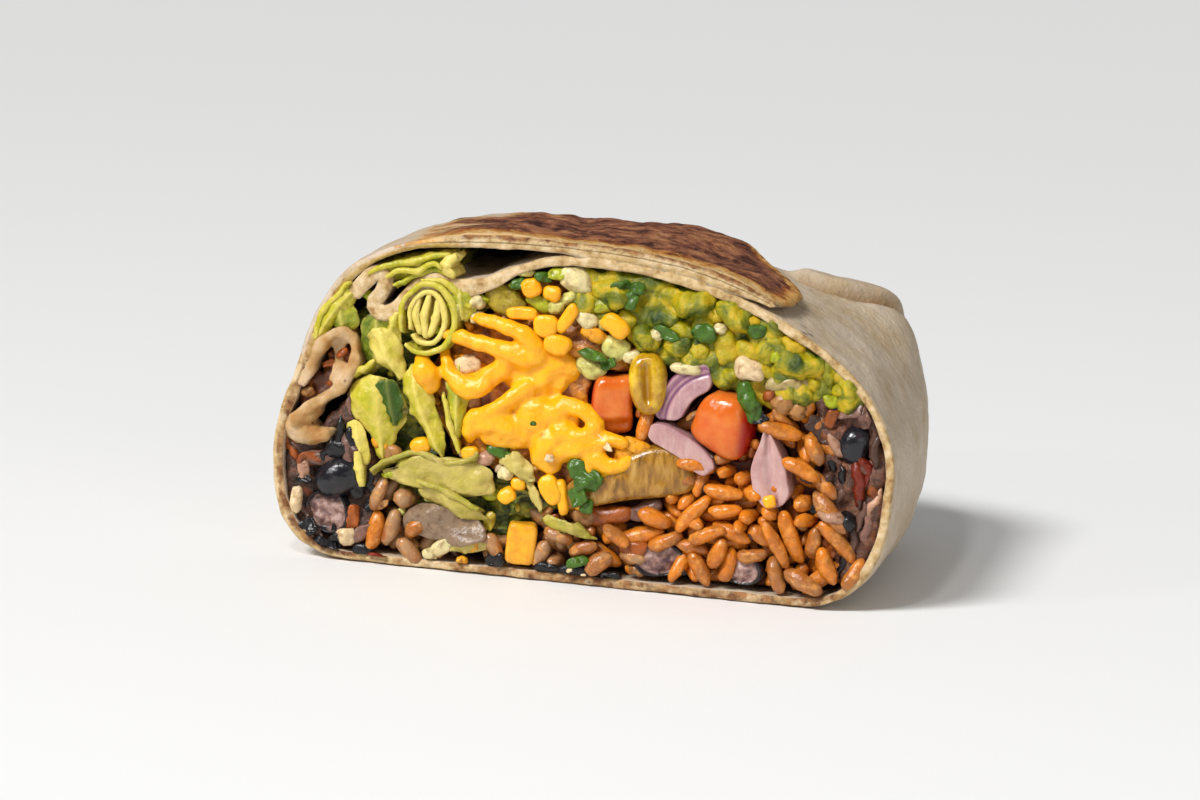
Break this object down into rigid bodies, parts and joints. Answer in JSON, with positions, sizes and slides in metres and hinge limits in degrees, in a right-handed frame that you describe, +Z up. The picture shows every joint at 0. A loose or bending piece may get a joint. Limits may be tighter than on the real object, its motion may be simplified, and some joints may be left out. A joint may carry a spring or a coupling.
{
  "type": "burrito half",
  "caption": "Half of a large grilled burrito, cut straight across, showing rice, beans, melted cheese, guacamole, lettuce, tomato and onion in a folded tortilla.",
  "frame": {"origin": "middle of the flat underside's bounding rectangle, on the surface the half lies on", "axes": "+X across the cut, to the right as seen from the cut; +Y along the roll, from the cut to the folded end; +Z up"},
  "size_m": [0.1168, 0.0905, 0.0624],
  "materials": {
    "tortilla": "soft flour tortilla, browned where it was grilled",
    "tortilla_tuck": "soft flour tortilla, moist",
    "bean_sauce": "moist paste",
    "guacamole": "moist, lumpy",
    "melted_cheese": "melted, glossy",
    "lettuce": "crisp leaf",
    "rice": "cooked, moist",
    "bean_mash_dark": "moist mash",
    "bean_mash": "moist mash",
    "tomato": "wet cut flesh",
    "corn": "moist skin",
    "onion": "wet cut flesh",
    "pepper": "pickled, wet",
    "cheddar": "soft",
    "black_bean": "cooked skin"
  },
  "bodies": {
    "root": {"tortilla": "tortilla", "tortilla_tuck": "tortilla_tuck", "bean_sauce": "bean_sauce", "guacamole": "guacamole", "melted_cheese": "melted_cheese", "lettuce_left": "lettuce", "lettuce_low": "lettuce", "lettuce_top": "lettuce", "rice": "rice", "beans_left": "bean_mash_dark", "beans_right": "bean_mash", "tomato_middle": "tomato", "tomato_right": "tomato", "corn_kernel": "corn", "onion_purple": "onion", "onion_slice": "onion", "onion_petal": "onion", "pickled_pepper": "pepper", "cheddar_chunk": "cheddar", "black_bean_upper": "black_bean", "black_bean_cut": "black_bean", "black_bean_middle": "black_bean", "black_bean_right": "black_bean", "black_bean_wall": "black_bean"}
  },
  "joints": []
}
